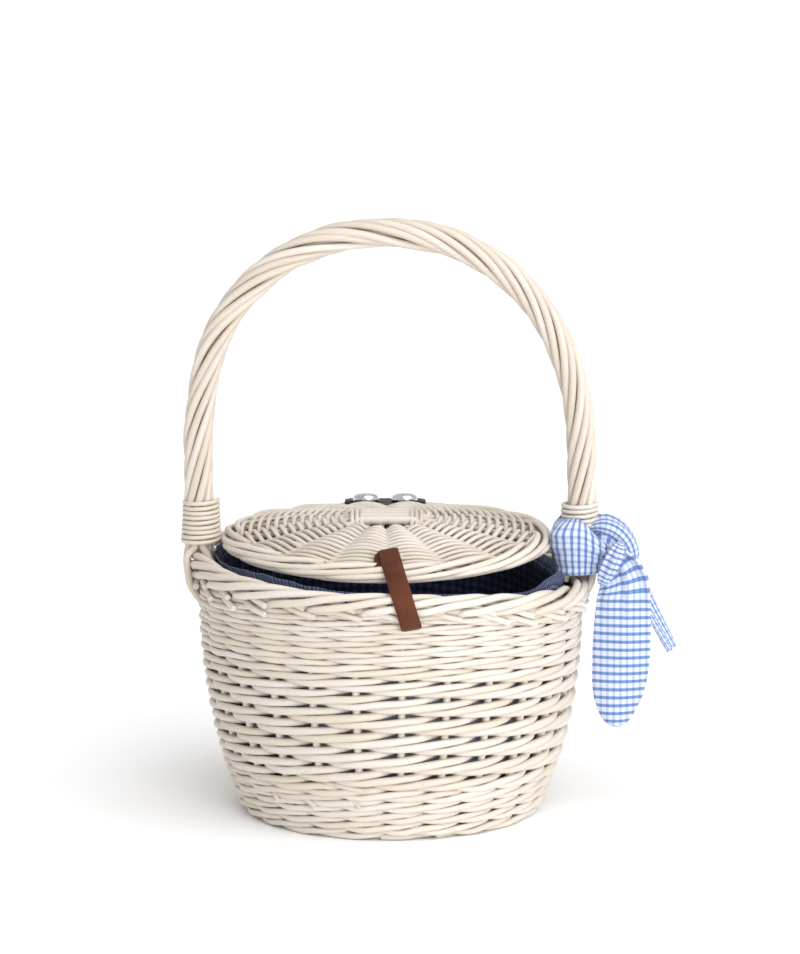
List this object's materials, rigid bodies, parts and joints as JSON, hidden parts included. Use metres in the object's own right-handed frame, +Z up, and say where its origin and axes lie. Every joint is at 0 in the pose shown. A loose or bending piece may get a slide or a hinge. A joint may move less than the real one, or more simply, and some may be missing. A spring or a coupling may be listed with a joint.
{
  "type": "wicker basket bag",
  "caption": "Round woven willow basket bag with a domed hinged lid, a roped arch handle, a leather strap, a cloth lining and a tied checked scarf.",
  "frame": {"origin": "where the basket's axis meets the floor it stands on", "axes": "+Z up, -Y towards the front with the strap, +X towards the handle foot with the scarf"},
  "size_m": [0.3073, 0.2579, 0.3738],
  "materials": {
    "willow": "peeled willow rods, smooth and slightly glossy",
    "pale_willow": "peeled willow rods, paler, smooth",
    "hinge_leather": "dark brown leather, soft sheen",
    "strap_leather": "brown leather, soft sheen",
    "rivets": "polished",
    "lining_cotton": "navy checked plain weave",
    "scarf_cotton": "blue and white checked plain weave"
  },
  "bodies": {
    "bowl": {"foot_wale": "willow", "base_sticks": "pale_willow", "base_weave": "willow", "stake_01": "pale_willow", "stake_02": "pale_willow", "stake_03": "pale_willow", "stake_04": "pale_willow", "stake_05": "pale_willow", "stake_06": "pale_willow", "stake_07": "pale_willow", "stake_08": "pale_willow", "stake_09": "pale_willow", "stake_10": "pale_willow", "stake_11": "pale_willow", "stake_12": "pale_willow", "stake_13": "pale_willow", "stake_14": "pale_willow", "stake_15": "pale_willow", "stake_16": "pale_willow", "stake_17": "pale_willow", "stake_18": "pale_willow", "stake_19": "pale_willow", "stake_20": "pale_willow", "stake_21": "pale_willow", "stake_22": "pale_willow", "stake_23": "pale_willow", "stake_24": "pale_willow", "stake_25": "pale_willow", "side_weave": "willow", "border": "willow", "lining": "lining_cotton", "handle_core": "willow", "handle_strand_1": "pale_willow", "handle_strand_2": "pale_willow", "handle_strand_3": "pale_willow", "handle_strand_4": "pale_willow", "handle_strand_5": "pale_willow", "handle_strand_6": "pale_willow", "handle_strand_7": "pale_willow", "handle_strand_8": "pale_willow", "collar_binding_left": "willow", "collar_binding_right": "willow", "hinge_flap_body": "hinge_leather", "rivet_body_left": "rivets", "rivet_body_right": "rivets", "scarf_wrap": "scarf_cotton", "scarf_knot": "scarf_cotton", "scarf_tail_front": "scarf_cotton", "scarf_tail_back": "scarf_cotton"},
    "lid": {"lid_sticks": "pale_willow", "lid_weave": "willow", "lid_rim": "willow", "hinge_flap_lid": "hinge_leather", "rivet_lid_left": "rivets", "rivet_lid_right": "rivets", "strap_fold": "strap_leather"},
    "strap_end": {"strap_tail": "strap_leather"}
  },
  "joints": [
    {"name": "lid_hinge", "type": "hinge", "parent": "bowl", "child": "lid", "pos_m": [0, 0.1055, 0.17255], "axis": [-1, 0, 0], "range_deg": [0, 57]},
    {"name": "strap_swing", "type": "hinge", "parent": "lid", "child": "strap_end", "pos_m": [0.005, -0.1037, 0.1712], "axis": [1, 0, 0], "range_deg": [0, 34.2]}
  ],
  "couplings": [
    {"joint": "strap_swing", "follows": "lid_hinge", "ratio": 0.6}
  ]
}
